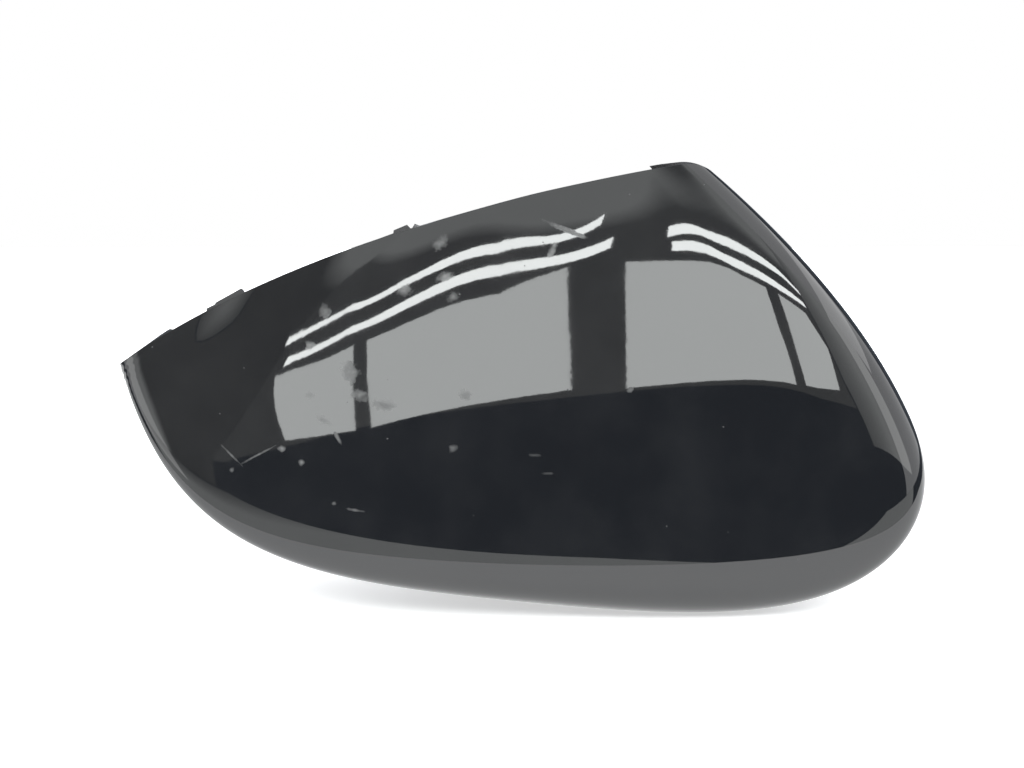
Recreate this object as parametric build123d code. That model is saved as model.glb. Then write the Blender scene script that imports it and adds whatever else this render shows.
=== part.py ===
from build123d import *
import os
from math import comb, cos, hypot, radians, sin

# Cover cap of a car's wing mirror: one plastic moulding, gloss coated outside and raw inside.
# It is modelled as it stands on its roof, the other way up from how a car carries it.
# +X points outboard, +Y to the mirror glass and +Z up. The front face looks along -Y.

# Moulding
WALL = 2.5
RIM_DEPTH = 58

# Corner line: where the front face and the roof would meet if the fold between them were sharp.
# Control points run from the inboard tip round the front to the outboard end.
CORNER_LINE = [
    (-119, 32, 61),
    (-87, -7, -17),
    (-37, -13, 22),
    (62, 2, 2),
    (114, 7, -39),
    (128, -8, 47),
    (113, 42, 31),
]
FRONT_LEAN = [35, 16, -8, -1, 22]
FRONT_BEND_PER_100 = [43, 10, 1, 108, 43]
FOLD_REACH = [20, 21, 21, 31]
FOLD_EASE = 0.5
ROOF_SLOPE = 4

# Sections of the skin fan out about an upright axis behind the rim, where all roofs meet. Past both
# ends of the corner line they slow down and run straight back, so that the skin passes the rim.
AXIS_BEHIND_RIM = 7
FAN_AXIS = (2, RIM_DEPTH + AXIS_BEHIND_RIM)
AXIS_HEIGHT = 6
AXIS_CLEARANCE = 4
OVERRUN = 0.05
BACK_DRIFT = RIM_DEPTH - CORNER_LINE[0][1]
SECTIONS = 49
FRONT_SPOTS = 10
FOLD_SPOTS = 13
ROOF_SPOTS = 7
SKIN_TOLERANCE = 0.01

# Trim edge in the front view: a control polygon from the tip to the apex, and a rounded apex
TRIM_LINE = [(-113, 67), (-72, 95.5), (-8, 113), (46, 122)]
SKIN_ABOVE_TRIM = 8
SKIN_TOP = TRIM_LINE[-1][1] + SKIN_ABOVE_TRIM
APEX_RADIUS = 11
APEX_TURN = 62
BLOCK_SIZE = 300

# Snap clips inside the trim edge, as outlines along the edge and up the skin. The first stands
# whole, and the second is broken off to a ragged stump.
CLIP_RISE = 1.3
CATCH_NOSE = 2.6
CATCH_LOW = -11
CATCH_HIGH = -5
CATCH_WIDTH = 7
WHOLE_CLIP_AT = 0.199
WHOLE_CLIP = [(-5.8, -12), (5.8, -12), (5.8, 2.2), (-2.7, 1.5), (-2.9, 1.1), (-5.8, 1.0)]
BROKEN_CLIP_AT = 0.472
BROKEN_CLIP = [
    (-14.4, -12), (14.4, -12), (14.4, -0.2), (11.8, 2.0), (10.5, 0.6), (9.6, 2.5), (5.5, 2.1),
    (5.2, 1.2), (-0.7, 0.9), (-8.1, 0.5), (-11.7, 0.6), (-14.4, -0.2),
]

# Hooks on the roof near the rim
ROOF_HOOKS_AT = [(20, 47), (58, 49)]
ROOF_HOOK = [(-5, -12), (5, -12), (5, 5), (-5, 5)]

# Stiffening ribs across the fold, and locating pins that point at the mirror housing. Each pin
# stands on a thicker boss, whose flat end stops the housing.
RIB_STATIONS = [0.34, 0.46, 0.58, 0.70]
RIB_FROM = 0.62
RIB_TO = 2.25
RIB_SPOTS = 17
RIB_RISE = 4
RIB_WIDTH = 1.4
PINS_AT = [(-30, 58), (80, 50)]
PIN_DIAMETER = 6
PIN_LENGTH = 14
PIN_END = 47
BOSS_DIAMETER = 9

# The finished part stands on z = 0 with the middle of its box over the origin
STAND = (0.8, -29.0, 0.2)


def blend(values, s):
    """A smooth run from the first control value to the last, as s goes from 0 to 1."""
    degree = len(values) - 1
    return sum(
        comb(degree, k) * s**k * (1 - s) ** (degree - k) * value
        for k, value in enumerate(values)
    )


def stations(first, last, count):
    return [first + (last - first) * k / (count - 1) for k in range(count)]


def past_end(s):
    return min(s, 0) + max(s - 1, 0)


def slowed(s):
    """The station itself between the ends, and a slowing one beyond them."""
    past = past_end(s)
    return s - past * abs(past) / (2 * OVERRUN)


def corner_point(s):
    corner = Vector(*(blend(axis_values, slowed(s)) for axis_values in zip(*CORNER_LINE)))
    return corner + Vector(0, BACK_DRIFT * (past_end(s) / OVERRUN) ** 2, 0)


def inward_run(s):
    """The level direction from the corner line to the fan axis, and the distance."""
    corner = corner_point(s)
    across = FAN_AXIS[0] - corner.X
    back = FAN_AXIS[1] - corner.Y
    distance = hypot(across, back)
    return Vector(across / distance, back / distance, 0), distance


def section_place(s, up, back):
    """Inward distance and height of a spot that lies up the front and back along the roof."""
    lean = radians(blend(FRONT_LEAN, slowed(s)))
    bend = radians(blend(FRONT_BEND_PER_100, slowed(s))) / 100
    slope = radians(ROOF_SLOPE)
    foot = corner_point(s).Z
    distance = inward_run(s)[1]
    curl = (AXIS_HEIGHT - foot + distance * sin(slope)) / distance**2
    inward = up * sin(lean) + up**2 * bend / 2 + back * cos(slope)
    height = foot + up * cos(lean) - back * sin(slope) + back**2 * curl
    return Vector(inward, height)


def section_spot(s, w):
    """One section of the skin: front for w from 0 to 1, fold from 1 to 2, roof from 2 to 3."""
    fold = blend(FOLD_REACH, slowed(s))
    if w <= 1:
        lean = radians(blend(FRONT_LEAN, slowed(s)))
        top = (SKIN_TOP - corner_point(s).Z) / cos(lean)
        return section_place(s, top + (fold - top) * w, 0)
    if w <= 2:
        eased = fold * (1 - FOLD_EASE)
        up = blend([fold, eased, 0, 0, 0], w - 1)
        back = blend([0, 0, 0, eased, fold], w - 1)
        return section_place(s, up, back)
    roof_end = inward_run(s)[1] - AXIS_CLEARANCE
    return section_place(s, 0, fold + (roof_end - fold) * (w - 2))


def skin_point(s, w, inset=0):
    """A point of the skin, or of the surface that lies inset behind it."""
    step = 0.001
    here = section_spot(s, w)
    along = (section_spot(s, w + step) - section_spot(s, w - step)).normalized()
    foot = corner_point(s) + inward_run(s)[0] * (here.X - along.Y * inset)
    return Vector(foot.X, foot.Y, here.Y + along.X * inset)


def skin_face(inset):
    """The whole double-curved skin as one smooth face."""
    spots = (
        stations(0, 1, FRONT_SPOTS)
        + stations(1, 2, FOLD_SPOTS)[1:]
        + stations(2, 3, ROOF_SPOTS)[1:]
    )
    rows = [
        [skin_point(s, w, inset) for w in spots]
        for s in stations(-OVERRUN, 1 + OVERRUN, SECTIONS)
    ]
    return Face.make_surface_from_array_of_points(rows, tol=SKIN_TOLERANCE, min_deg=3, max_deg=5)


def trimmed_block(trim):
    """All the room in front of the rim and below the trim edge."""
    apex = JernArc(trim @ 1, trim % 1, APEX_RADIUS, -APEX_TURN)
    half = BLOCK_SIZE / 2
    inboard = trim @ 0 - (trim % 0) * (half / 2)
    around = Polyline(
        apex @ 1, (half, (apex @ 1).Y), (half, -half), (inboard.X, -half), inboard, trim @ 0
    )
    outline = make_face(trim + apex + around)
    return Pos(0, RIM_DEPTH, 0) * extrude(Plane.XZ * outline, BLOCK_SIZE)


def smaller_part(solid, face):
    return solid.split(face, keep=Keep.ALL).solids().sort_by(SortBy.VOLUME)[0]


def first_met(face, start, direction):
    """Where a straight line first meets the skin, and the way out of the wall there."""
    point, normal = face.find_intersection_points(Axis(start, direction))[0]
    outward = normal if normal.dot(Vector(*direction)) < 0 else -normal
    return point, outward


def clip(place, outline):
    """A flat clip rooted in the wall, with a wedge for a catch on its inner side."""
    inner_face = -(WALL + CLIP_RISE)
    plate = extrude(make_face(Polyline(*outline, close=True)), CLIP_RISE + WALL / 2)
    wedge = Polyline(
        (CATCH_LOW, inner_face + CLIP_RISE / 2),
        (CATCH_LOW, inner_face - CATCH_NOSE),
        (CATCH_HIGH, inner_face + CLIP_RISE / 2),
        close=True,
    )
    catch = extrude(Plane.YZ * make_face(wedge), CATCH_WIDTH / 2, both=True)
    return place * (Pos(0, 0, inner_face) * plate + catch)


def edge_clip(skin, trim, at, outline):
    spot = trim @ at
    along = trim % at
    point, outward = first_met(skin, (spot.X, -BLOCK_SIZE, spot.Y), (0, 1, 0))
    return clip(Plane(point, x_dir=(along.X, 0, along.Y), z_dir=outward), outline)


def roof_hook(skin, x, y):
    point, outward = first_met(skin, (x, y, -BLOCK_SIZE), (0, 0, 1))
    return clip(Plane(point, x_dir=(-1, 0, 0), z_dir=outward), ROOF_HOOK)


def rib(s):
    """A thin upright rib that follows the inside of one section."""
    spots = stations(RIB_FROM, RIB_TO, RIB_SPOTS)
    rooted = Spline(*[skin_point(s, w, WALL / 2) for w in spots])
    crest = Spline(*[skin_point(s, w, WALL + RIB_RISE) for w in spots])
    outline = rooted + crest + Line(rooted @ 0, crest @ 0) + Line(rooted @ 1, crest @ 1)
    return extrude(make_face(outline), RIB_WIDTH / 2, both=True)


def pin(root_skin, x, z):
    """A locating pin on a boss that is rooted half way into the wall."""
    shoulder = Plane((x, PIN_END - PIN_LENGTH, z), z_dir=(0, 1, 0))
    long_boss = extrude(shoulder * Circle(BOSS_DIAMETER / 2), -BLOCK_SIZE / 2)
    boss = long_boss.split(root_skin, keep=Keep.ALL).solids().sort_by(Axis.Y)[-1]
    return boss + extrude(shoulder * Circle(PIN_DIAMETER / 2), PIN_LENGTH)


outer_skin = skin_face(0)
trim_edge = Bezier(*TRIM_LINE)
filled = smaller_part(trimmed_block(trim_edge), outer_skin)
cover = smaller_part(filled, skin_face(WALL))

for station in RIB_STATIONS:
    cover += rib(station)
root_skin = skin_face(WALL / 2)
for x, z in PINS_AT:
    cover += pin(root_skin, x, z)
for x, y in ROOF_HOOKS_AT:
    cover += roof_hook(outer_skin, x, y)
cover += edge_clip(outer_skin, trim_edge, WHOLE_CLIP_AT, WHOLE_CLIP)
cover += edge_clip(outer_skin, trim_edge, BROKEN_CLIP_AT, BROKEN_CLIP)

os.makedirs("parts", exist_ok=True)
export_step(Pos(*STAND) * cover, "parts/mirror_cover.step")
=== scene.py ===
from math import atan, comb, cos, pi, radians, sin

import bmesh
import bpy
import numpy as np
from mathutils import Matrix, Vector


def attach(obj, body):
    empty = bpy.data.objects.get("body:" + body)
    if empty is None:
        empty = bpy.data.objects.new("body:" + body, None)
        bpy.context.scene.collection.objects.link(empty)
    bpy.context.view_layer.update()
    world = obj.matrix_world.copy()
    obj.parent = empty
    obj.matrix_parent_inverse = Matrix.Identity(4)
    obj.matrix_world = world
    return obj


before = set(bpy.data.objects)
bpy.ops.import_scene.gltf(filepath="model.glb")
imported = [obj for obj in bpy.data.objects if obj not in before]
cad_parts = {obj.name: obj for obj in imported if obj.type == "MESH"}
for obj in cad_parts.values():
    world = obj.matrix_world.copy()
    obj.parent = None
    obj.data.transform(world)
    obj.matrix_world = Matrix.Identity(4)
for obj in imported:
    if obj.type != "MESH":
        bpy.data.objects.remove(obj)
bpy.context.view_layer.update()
scene = bpy.context.scene
scene.view_settings.view_transform = "Standard"


# The moulding: one shot of black plastic, left raw on the inside, on its clips and on its cut edges.
# Its moulded skin is fine and even, a little dusty, and pale where the broken clip was strained.
def new_material(name):
    """A material, with its node tree and its main shader."""
    material = bpy.data.materials.new(name)
    material.use_nodes = True
    return material, material.node_tree, material.node_tree.nodes["Principled BSDF"]


def add_place(tree):
    """The piece's own coordinates, in metres."""
    return tree.nodes.new("ShaderNodeTexCoord").outputs["Object"]


def add_noise(tree, place, scale, detail):
    noise = tree.nodes.new("ShaderNodeTexNoise")
    noise.inputs["Scale"].default_value = scale
    noise.inputs["Detail"].default_value = detail
    tree.links.new(place, noise.inputs["Vector"])
    return noise


def add_relief(tree, noise, strength, depth):
    relief = tree.nodes.new("ShaderNodeBump")
    relief.inputs["Strength"].default_value = strength
    relief.inputs["Distance"].default_value = depth
    tree.links.new(noise.outputs["Fac"], relief.inputs["Height"])
    return relief.outputs["Normal"]


def add_range(tree, value, value_range, result_range):
    """Carries a value over from one range to another, and stops at the ends."""
    mapped = tree.nodes.new("ShaderNodeMapRange")
    limit_names = ("From Min", "From Max", "To Min", "To Max")
    for limit_name, limit in zip(limit_names, value_range + result_range):
        mapped.inputs[limit_name].default_value = limit
    tree.links.new(value, mapped.inputs["Value"])
    return mapped.outputs["Result"]


def add_math(tree, operation, *values):
    """One step of arithmetic on numbers that are fixed or come from other nodes."""
    worked_out = tree.nodes.new("ShaderNodeMath")
    worked_out.operation = operation
    for socket, value in zip(worked_out.inputs, values):
        if isinstance(value, (int, float)):
            socket.default_value = value
        else:
            tree.links.new(value, socket)
    return worked_out.outputs["Value"]


def add_mix(tree, factor, first, second):
    """A blend of two colours, of which the first may come from another node."""
    mix = tree.nodes.new("ShaderNodeMix")
    mix.data_type = "RGBA"
    tree.links.new(factor, mix.inputs["Factor"])
    mix.inputs["B"].default_value = second
    if isinstance(first, tuple):
        mix.inputs["A"].default_value = first
    else:
        tree.links.new(first, mix.inputs["A"])
    return mix.outputs["Result"]


raw_plastic, tree, raw_shader = new_material("raw_plastic")
raw_shader.inputs["IOR"].default_value = 1.5
raw_shader.inputs["Specular IOR Level"].default_value = 0.3
place = add_place(tree)
moulded_grain = add_noise(tree, place, scale=2600, detail=4)
grain_relief = add_relief(tree, moulded_grain, strength=0.25, depth=0.0002)
tree.links.new(grain_relief, raw_shader.inputs["Normal"])
plastic_black = (0.016, 0.016, 0.017, 1)
dust_grey = (0.11, 0.105, 0.1, 1)
dust_drift = add_noise(tree, place, scale=60, detail=6).outputs["Fac"]
dust_level = add_range(tree, dust_drift, (0.45, 0.8), (0, 0.1))
dusty_colour = add_mix(tree, dust_level, plastic_black, dust_grey)
raw_gloss = add_range(tree, dust_drift, (0, 1), (0.42, 0.62))
tree.links.new(raw_gloss, raw_shader.inputs["Roughness"])

# Strain has turned the plastic pale around the stump of the broken clip
strain_spot = Vector((-0.0265, 0.0095, 0.1068))
strain_reach = 0.0045
strain_fade = 0.003
strain_raggedness = 0.006
strain_strength = 0.75
strain_pale = (0.26, 0.26, 0.27, 1)
to_strain = tree.nodes.new("ShaderNodeVectorMath")
to_strain.operation = "DISTANCE"
to_strain.inputs[1].default_value = strain_spot
tree.links.new(place, to_strain.inputs[0])
strain_ragged = add_math(tree, "MULTIPLY_ADD", dust_drift, strain_raggedness, to_strain.outputs["Value"])
strain_edge = (strain_reach, strain_reach + strain_fade)
strain_level = add_range(tree, strain_ragged, strain_edge, (strain_strength, 0))
strained_colour = add_mix(tree, strain_level, dusty_colour, strain_pale)
tree.links.new(strained_colour, raw_shader.inputs["Base Color"])

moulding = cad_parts["mirror_cover"]
for material_slot in moulding.material_slots:
    material_slot.material = raw_plastic

# The gloss coat: black lacquer sprayed over the whole outside, a thin film from the trim edge round
# the fold to the rim. It lies on the moulding's own sections, which fan out about an upright axis.
# All its sizes are in millimetres, in the moulding's own place before it is set on the table.
corner_line = [
    (-119, 32, 61),
    (-87, -7, -17),
    (-37, -13, 22),
    (62, 2, 2),
    (114, 7, -39),
    (128, -8, 47),
    (113, 42, 31),
]
front_lean = [35, 16, -8, -1, 22]
front_bend_per_100 = [43, 10, 1, 108, 43]
fold_reach = [20, 21, 21, 31]
fold_ease = 0.5
roof_slope = radians(4)
rim_depth = 58
axis_behind_rim = 7
fan_axis = (2, rim_depth + axis_behind_rim)
axis_height = 6
axis_clearance = 4
overrun = 0.05
back_drift = rim_depth - corner_line[0][1]
trim_line = [(-113, 67), (-72, 95.5), (-8, 113), (46, 122)]
trim_overrun = 0.3
skin_above_trim = 8
skin_top = trim_line[-1][1] + skin_above_trim
apex_radius = 11
apex_turn = radians(62)
stand = Vector((0.8, -29.0, 0.2))
coat_lift = 0.3
coat_film = 0.1
edge_bare = 0.1
across_steps = 260
down_steps = 130
section_end = 3.0
coat_end = 2.95
search_steps = 60
halvings = 40
millimetre = 0.001


def run_through(values, s):
    """A smooth run from the first control value to the last, as s goes from 0 to 1."""
    degree = len(values) - 1
    return sum(
        comb(degree, k) * s**k * (1 - s) ** (degree - k) * value for k, value in enumerate(values)
    )


def trim_height(x):
    """Height of the trim edge over a place along the cover, as seen from the front."""
    end_x, end_z = trim_line[-1]
    rise = atan((end_z - trim_line[-2][1]) / (end_x - trim_line[-2][0]))
    if x >= end_x:
        middle = Vector((end_x + apex_radius * sin(rise), end_z - apex_radius * cos(rise)))
        last_x = middle.x + apex_radius * sin(apex_turn - rise)
        off = min(x, last_x) - middle.x
        return middle.y + (apex_radius**2 - off**2) ** 0.5
    low, high = -trim_overrun, 1.0
    for halving in range(halvings):
        t = (low + high) / 2
        if run_through([spot[0] for spot in trim_line], t) < x:
            low = t
        else:
            high = t
    return run_through([spot[1] for spot in trim_line], low)


def coat_spot(s, w):
    """A spot of the skin: front for w from 0 to 1, fold from 1 to 2, roof from 2 to 3."""
    past = min(s, 0) + max(s - 1, 0)
    station = s - past * abs(past) / (2 * overrun)
    corner = Vector([run_through(axis_values, station) for axis_values in zip(*corner_line)])
    corner.y += back_drift * (past / overrun) ** 2
    lean = radians(run_through(front_lean, station))
    bend = radians(run_through(front_bend_per_100, station)) / 100
    fold = run_through(fold_reach, station)
    to_axis = Vector((fan_axis[0] - corner.x, fan_axis[1] - corner.y, 0))
    distance = to_axis.length
    curl = (axis_height - corner.z + distance * sin(roof_slope)) / distance**2
    up, back = 0, 0
    if w <= 1:
        top = (skin_top - corner.z) / cos(lean)
        up = top + (fold - top) * w
    elif w <= 2:
        eased = fold * (1 - fold_ease)
        up = run_through([fold, eased, 0, 0, 0], w - 1)
        back = run_through([0, 0, 0, eased, fold], w - 1)
    else:
        back = fold + (distance - axis_clearance - fold) * (w - 2)
    inward = up * sin(lean) + up**2 * bend / 2 + back * cos(roof_slope)
    height = up * cos(lean) - back * sin(roof_slope) + back**2 * curl
    return corner + to_axis / distance * inward + Vector((0, 0, height))


def below_trim(s, w):
    spot = coat_spot(s, w)
    return spot.z < trim_height(spot.x) - edge_bare


def coat_start(s):
    """Where a section passes below the trim edge, going down the front."""
    low, high = 0.0, section_end
    for step in range(search_steps + 1):
        w = section_end * step / search_steps
        if below_trim(s, w):
            high = w
            break
        low = w
    for halving in range(halvings):
        w = (low + high) / 2
        if below_trim(s, w):
            high = w
        else:
            low = w
    return high


coat_mesh = bmesh.new()
even_layer = coat_mesh.verts.layers.float_vector.new("even_normal")
bmesh.ops.create_grid(coat_mesh, x_segments=across_steps, y_segments=down_steps, size=0.5)
grid_verts = sorted(coat_mesh.verts, key=lambda vert: (round(vert.co.x, 5), -round(vert.co.y, 5)))
grid_shape = (across_steps + 1, down_steps + 1)
s_grid = np.empty(grid_shape)
w_grid = np.empty(grid_shape)
for column in range(across_steps + 1):
    s = -overrun + (1 + 2 * overrun) * column / across_steps
    start = coat_start(s)
    for row in range(down_steps + 1):
        w = start + (coat_end - start) * row / down_steps
        s_grid[column, row] = s
        w_grid[column, row] = w
        grid_verts[column * (down_steps + 1) + row].co = (coat_spot(s, w) + stand) * millimetre
coat_mesh.normal_update()
front_most = min(coat_mesh.faces, key=lambda face: face.calc_center_median().y)
if front_most.normal.y > 0:
    bmesh.ops.reverse_faces(coat_mesh, faces=coat_mesh.faces[:])
    coat_mesh.normal_update()

# The skin has faint waves where its sections crowd together near the top of the front, and a gloss
# shows them. So the coat's shading normals are evened along the length there, and fade to its own.
level_reach = 0.07
front_fade = 0.3
tip_from, tip_fade = 0.01, 0.03
outboard_to, outboard_fade = 0.8, 0.1
normals = np.array([vert.normal for vert in grid_verts]).reshape(grid_shape + (3,))
level_columns = level_reach / (1 + 2 * overrun) * across_steps
level_span = 3 * round(level_columns)
evened = np.zeros_like(normals)
for shift in range(-level_span, level_span + 1):
    neighbour = np.clip(np.arange(across_steps + 1) + shift, 0, across_steps)
    evened += normals[neighbour] * np.exp(-((shift / level_columns) ** 2) / 2)
evened /= np.linalg.norm(evened, axis=2, keepdims=True)
on_front = np.clip((1 - w_grid) / front_fade, 0, 1)
off_tip = np.clip((s_grid - tip_from) / tip_fade, 0, 1)
off_outboard = np.clip((outboard_to - s_grid) / outboard_fade, 0, 1)
share = (on_front * off_tip * off_outboard)[:, :, None]
evened = normals * (1 - share) + evened * share
for vert, lift, even in zip(grid_verts, normals.reshape(-1, 3), evened.reshape(-1, 3)):
    vert.co += Vector(lift) * coat_lift * millimetre
    vert[even_layer] = Vector(even).normalized()

bmesh.ops.bisect_plane(
    coat_mesh,
    geom=coat_mesh.verts[:] + coat_mesh.edges[:] + coat_mesh.faces[:],
    plane_co=(0, (rim_depth + stand.y - edge_bare) * millimetre, 0),
    plane_no=(0, 1, 0),
    clear_outer=True,
)
bmesh.ops.solidify(coat_mesh, geom=coat_mesh.faces[:], thickness=coat_film * millimetre)
for face in coat_mesh.faces:
    face.smooth = True
coat_data = bpy.data.meshes.new("gloss_coat")
coat_mesh.to_mesh(coat_data)
coat_mesh.free()
# Both sides of the film take the evened normals, and its narrow edges keep their own
same_way = 0.5
even_normals = coat_data.attributes["even_normal"].data
loop_normals = []
for polygon in coat_data.polygons:
    for vertex in polygon.vertices:
        even = even_normals[vertex].vector
        facing = even.dot(polygon.normal)
        if facing > same_way:
            loop_normals.append(even)
        elif facing < -same_way:
            loop_normals.append(-even)
        else:
            loop_normals.append(polygon.normal)
coat_data.normals_split_custom_set(loop_normals)
gloss_coat = bpy.data.objects.new("gloss_coat", coat_data)
scene.collection.objects.link(gloss_coat)

# The coat's finish: deep black lacquer with a faint orange peel, and the dust, smudges and scratches
# that it has picked up. They dull the gloss as well as greying the black.
black_lacquer, tree, lacquer = new_material("black_lacquer")
lacquer.inputs["IOR"].default_value = 1.52
place = add_place(tree)

# Orange peel: soft waves a few millimetres across, hardly any depth
peel = add_noise(tree, place, scale=330, detail=2)
peel_relief = add_relief(tree, peel, strength=0.005, depth=0.0004)
tree.links.new(peel_relief, lacquer.inputs["Normal"])

# Haze of fine dust, thicker in drifts
haze = add_noise(tree, place, scale=38, detail=7)
haze.inputs["Roughness"].default_value = 0.62
haze_level = add_range(tree, haze.outputs["Fac"], (0.42, 0.82), (0, 0.03))

# Specks of dust scattered over the whole coat
specks = tree.nodes.new("ShaderNodeTexVoronoi")
specks.inputs["Scale"].default_value = 130
tree.links.new(place, specks.inputs["Vector"])
speck_level = add_range(tree, specks.outputs["Distance"], (0.01, 0.035), (0.35, 0))
dirt = add_math(tree, "MAXIMUM", haze_level, speck_level)

# Marks as (middle in millimetres, half length, half width, tilt in degrees, strength)
marks = [
    ((-22.5, 34.0, 100.6), 2.4, 1.6, 40, 0.4),
    ((13.0, 34.8, 104.2), 7.0, 0.7, -21, 0.4),
    ((-54.7, 29.2, 82.3), 2.0, 1.6, -50, 0.3),
    ((-58.6, 24.9, 73.2), 1.6, 1.2, 0, 0.2),
    ((-32.2, 28.0, 87.9), 2.4, 1.4, 20, 0.22),
    ((-21.0, 29.1, 91.9), 2.4, 1.2, 20, 0.22),
    ((-18.7, 26.0, 86.5), 2.0, 1.2, 20, 0.2),
    ((8.9, 31.8, 98.6), 2.2, 1.0, 60, 0.22),
    ((-47.1, 19.3, 66.6), 3.0, 2.4, -60, 0.34),
    ((-44.1, 16.2, 60.7), 2.4, 1.6, -20, 0.26),
    ((-37.2, 14.4, 58.3), 3.2, 1.6, -10, 0.34),
    ((-15.2, 14.1, 61.2), 1.8, 1.4, 0, 0.3),
    ((-58.1, 18.3, 60.3), 1.6, 1.2, 0, 0.22),
    ((-54.0, 15.0, 54.0), 2.6, 1.0, -25, 0.24),
    ((-65.6, 13.5, 46.4), 1.1, 0.8, 0, 0.6),
    ((-60.1, 11.2, 43.1), 0.9, 0.8, 0, 0.55),
    ((-18.4, 8.9, 47.5), 1.1, 0.9, 30, 0.5),
    ((29.8, 13.2, 62.7), 0.9, 0.6, 30, 0.4),
    ((-79.6, 13.7, 40.2), 0.6, 0.6, 0, 0.4),
    ((-50.8, 6.2, 32.8), 0.6, 0.5, 0, 0.4),
    ((-50.0, 12.3, 49.5), 2.0, 0.5, -60, 0.4),
    ((-45.0, 5.1, 31.2), 2.2, 0.4, -8, 0.5),
    ((-79.9, 15.4, 44.1), 4.0, 0.3, -39, 0.4),
    ((-72.4, 13.9, 44.4), 5.4, 0.3, 28, 0.4),
    ((3.8, 7.6, 45.9), 1.6, 0.4, 0, 0.2),
    ((7.4, 6.0, 41.2), 1.8, 0.3, 0, 0.2),
]
mark_half_depth = 4
mark_raggedness = 1.6
mark_edge = (0.7, 2.0)
smudge_grain = add_noise(tree, place, scale=800, detail=5).outputs["Fac"]
for middle, half_length, half_width, tilt, strength in marks:
    mark_place = tree.nodes.new("ShaderNodeMapping")
    mark_place.vector_type = "TEXTURE"
    mark_size = Vector((half_length, mark_half_depth, half_width))
    mark_place.inputs["Location"].default_value = (Vector(middle) + stand) * millimetre
    mark_place.inputs["Rotation"].default_value = (0, radians(-tilt), 0)
    mark_place.inputs["Scale"].default_value = mark_size * millimetre
    tree.links.new(place, mark_place.inputs["Vector"])
    mark_reach = tree.nodes.new("ShaderNodeVectorMath")
    mark_reach.operation = "LENGTH"
    tree.links.new(mark_place.outputs["Vector"], mark_reach.inputs[0])
    ragged = add_math(tree, "MULTIPLY_ADD", smudge_grain, mark_raggedness, mark_reach.outputs["Value"])
    mark_level = add_range(tree, ragged, mark_edge, (strength, 0))
    dirt = add_math(tree, "MAXIMUM", dirt, mark_level)

lacquer_black = (0.004, 0.0042, 0.005, 1)
dirt_grey = (0.2, 0.2, 0.2, 1)
lacquer_colour = add_mix(tree, dirt, lacquer_black, dirt_grey)
tree.links.new(lacquer_colour, lacquer.inputs["Base Color"])
lacquer_roughness = add_range(tree, dirt, (0, 1), (0.02, 0.6))
tree.links.new(lacquer_roughness, lacquer.inputs["Roughness"])
dulled_shine = add_range(tree, dirt, (0, 0.4), (0.5, 0.12))
tree.links.new(dulled_shine, lacquer.inputs["Specular IOR Level"])
gloss_coat.data.materials.append(black_lacquer)
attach(gloss_coat, "root")

# The floor: a white table top under the cover, just below the coat's film. Past its edges the camera
# sees plain white, and the table glows a little so that it runs into that white.
table_left, table_right = -1.6, 1.6
table_front, table_back = -0.19, 0.9
table_height = -0.0004
table_size = (table_right - table_left, table_back - table_front, 1)
table_middle = ((table_left + table_right) / 2, (table_front + table_back) / 2, table_height)
table_mesh = bmesh.new()
bmesh.ops.create_grid(table_mesh, x_segments=1, y_segments=1, size=0.5)
bmesh.ops.scale(table_mesh, vec=table_size, verts=table_mesh.verts)
bmesh.ops.translate(table_mesh, vec=table_middle, verts=table_mesh.verts)
table_data = bpy.data.meshes.new("white_table")
table_mesh.to_mesh(table_data)
table_mesh.free()
white_table = bpy.data.objects.new("white_table", table_data)
scene.collection.objects.link(white_table)
table_white, tree, table_shader = new_material("table_white")
table_shader.inputs["Base Color"].default_value = (0.88, 0.88, 0.88, 1)
table_shader.inputs["Roughness"].default_value = 0.9
table_shader.inputs["Specular IOR Level"].default_value = 0.1
table_shader.inputs["Emission Color"].default_value = (1, 1, 1, 1)
plain_glow, mirrored_glow = 0.5, 1.0
seen_by = tree.nodes.new("ShaderNodeLightPath")
table_glow = add_range(tree, seen_by.outputs["Is Glossy Ray"], (0, 1), (plain_glow, mirrored_glow))
tree.links.new(table_glow, table_shader.inputs["Emission Strength"])
white_table.data.materials.append(table_white)

# The studio: flat glowing boards on a wall in front, which the gloss shows as two windows, two pairs
# of tubes and pale walls, with a white card below. Each board has an outline of (x, z) in metres, its
# glow, and a fade: the glow it fades to, the way in (x, z), and the two places between which it fades.
wall_distance = 3.0
board_spacing = 0.001
pane_glow = 8.0
tube_glow = 19
card_outline = [
    (-8, -4), (7, -4), (7, 0.7), (2.3, 0.2), (1.46, -0.42),
    (1.0, -0.45), (0.3, 0.0), (-2.4, 1.2), (-8, 1.3),
]
boards = [
    ("wall_behind", [(-2.6, 1.9), (2.4, 1.9), (2.7, 5.6), (-2.0, 5.6)], 0.6, (2.2, (0, 1), (4.45, 4.75))),
    (
        "wall_left", [(-7, 1.25), (-2.6, 1.25), (-2.0, 5.6), (-7, 5.6)], 0.45,
        (2.1, (-0.84, 0.55), (3.92, 4.17)),
    ),
    ("wall_right", [(2.4, 1.3), (7, 1.3), (7, 5.6), (2.7, 5.6)], 1.0, (2.4, (1, 0), (2.4, 3.6))),
    ("white_card", card_outline, 0.5, (2.0, (0, 1), (1.3, 0.5))),
]
panes = [
    [(-1.88, 1.97), (-1.2, 1.88), (-1.64, 3.03), (-2.34, 2.55)],
    [(-1.07, 1.87), (-0.01, 1.98), (-0.19, 3.8), (-0.42, 3.38), (-1.52, 3.06)],
    [(0.24, 1.93), (1.38, 1.98), (1.56, 3.57), (0.73, 3.65), (0.14, 3.77)],
    [(1.53, 2.02), (2.19, 2.15), (2.45, 2.94), (2.3, 3.5), (1.77, 3.56)],
]
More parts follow.
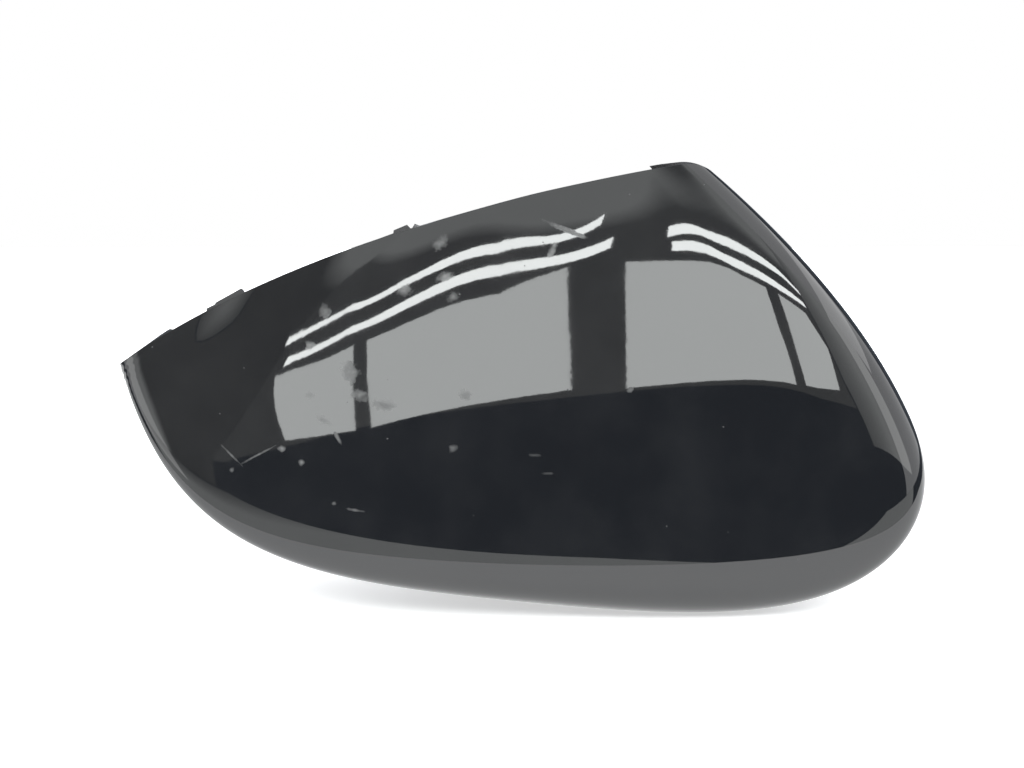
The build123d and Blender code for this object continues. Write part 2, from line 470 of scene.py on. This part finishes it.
for outline in panes:
    boards.append(("pane_%d" % len(boards), outline, pane_glow, None))
# Tubes as runs of (x, z, half of the height) along each
tubes = [
    [
        (-2.42, 2.8, 0.05), (-1.95, 3.62, 0.07), (-1.47, 3.92, 0.08),
        (-0.42, 4.18, 0.1), (-0.12, 4.63, 0.1),
    ],
    [
        (-2.3, 2.68, 0.05), (-1.78, 3.26, 0.07), (-1.32, 3.46, 0.09),
        (-0.42, 3.77, 0.1), (0.01, 4.14, 0.1),
    ],
    [(0.46, 4.14, 0.07), (1.57, 4.13, 0.09), (2.21, 4.18, 0.08), (2.6, 4.07, 0.05)],
    [(0.5, 3.91, 0.07), (0.98, 3.8, 0.09), (1.9, 3.73, 0.08), (2.47, 3.74, 0.05)],
]
for run in tubes:
    upper = [(x, z + half) for x, z, half in run]
    lower = [(x, z - half) for x, z, half in run]
    for number in range(len(run) - 1):
        outline = [lower[number], lower[number + 1], upper[number + 1], upper[number]]
        boards.append(("tube_%d" % len(boards), outline, tube_glow, None))
for number, (name, outline, glow, fade) in enumerate(boards):
    board_mesh = bmesh.new()
    bmesh.ops.create_circle(board_mesh, cap_ends=True, segments=len(outline), radius=1)
    for vert, (x, z) in zip(board_mesh.verts, outline):
        vert.co = (x, -wall_distance + board_spacing * number, z)
    board_data = bpy.data.meshes.new(name)
    board_mesh.to_mesh(board_data)
    board_mesh.free()
    board = bpy.data.objects.new(name, board_data)
    scene.collection.objects.link(board)
    board.visible_camera = False
    board_glow, tree, board_shader = new_material(name)
    board_shader.inputs["Base Color"].default_value = (0, 0, 0, 1)
    board_shader.inputs["Specular IOR Level"].default_value = 0
    board_shader.inputs["Emission Color"].default_value = (0.97, 1.0, 0.99, 1)
    board_shader.inputs["Emission Strength"].default_value = glow
    if fade:
        far_glow, fade_way, fade_places = fade
        along = tree.nodes.new("ShaderNodeVectorMath")
        along.operation = "DOT_PRODUCT"
        along.inputs[1].default_value = (fade_way[0], 0, fade_way[1])
        tree.links.new(add_place(tree), along.inputs[0])
        faded_glow = add_range(tree, along.outputs["Value"], fade_places, (glow, far_glow))
        tree.links.new(faded_glow, board_shader.inputs["Emission Strength"])
    board.data.materials.append(board_glow)

# The soft panels: one wide panel overhead that whitens the table, and one upright at each side. Each
# has its middle, turn, size and glow.
panels = [
    ("panel_above", (0, 0.1, 4.5), (0, 0, 0), (14.0, 5.0), 2.4),
    ("panel_right", (4.0, -0.4, 2.4), (0, radians(90), 0), (4.0, 5.0), 2.0),
    ("panel_left", (-4.0, -0.4, 2.4), (0, radians(-90), 0), (4.0, 5.0), 2.0),
]
for name, middle, turn, size, glow in panels:
    panel_light = bpy.data.lights.new(name, "AREA")
    panel_light.shape = "RECTANGLE"
    panel_light.size, panel_light.size_y = size
    panel_light.energy = glow * pi * size[0] * size[1]
    panel = bpy.data.objects.new(name, panel_light)
    panel.location = middle
    panel.rotation_euler = turn
    panel.visible_camera = False
    scene.collection.objects.link(panel)

# The world: a dim room for light and for the gloss, and plain white to the camera
dim_room = (0.16, 0.19, 0.23, 1)
plain_white = (1, 1, 1, 1)
world = bpy.data.worlds.new("studio_world")
scene.world = world
world.use_nodes = True
tree = world.node_tree
seen_by = tree.nodes.new("ShaderNodeLightPath")
world_colour = add_mix(tree, seen_by.outputs["Is Camera Ray"], dim_room, plain_white)
tree.links.new(world_colour, tree.nodes["Background"].inputs["Color"])

# The camera: level with the trim edge and a little above, looking down at the front
camera_spot = Vector((-3.84, -394.40, 147.00))
camera_down = 11.457
camera_turn = -0.206
focal_pixels = 1526.5
image_width = 1024
camera_data = bpy.data.cameras.new("camera")
camera_data.sensor_width = 36
camera_data.lens = focal_pixels / image_width * camera_data.sensor_width
camera_data.clip_start = 0.01
camera = bpy.data.objects.new("camera", camera_data)
camera.location = (camera_spot + stand) * millimetre
camera.rotation_euler = (radians(90 - camera_down), 0, radians(camera_turn))
scene.collection.objects.link(camera)
scene.camera = camera
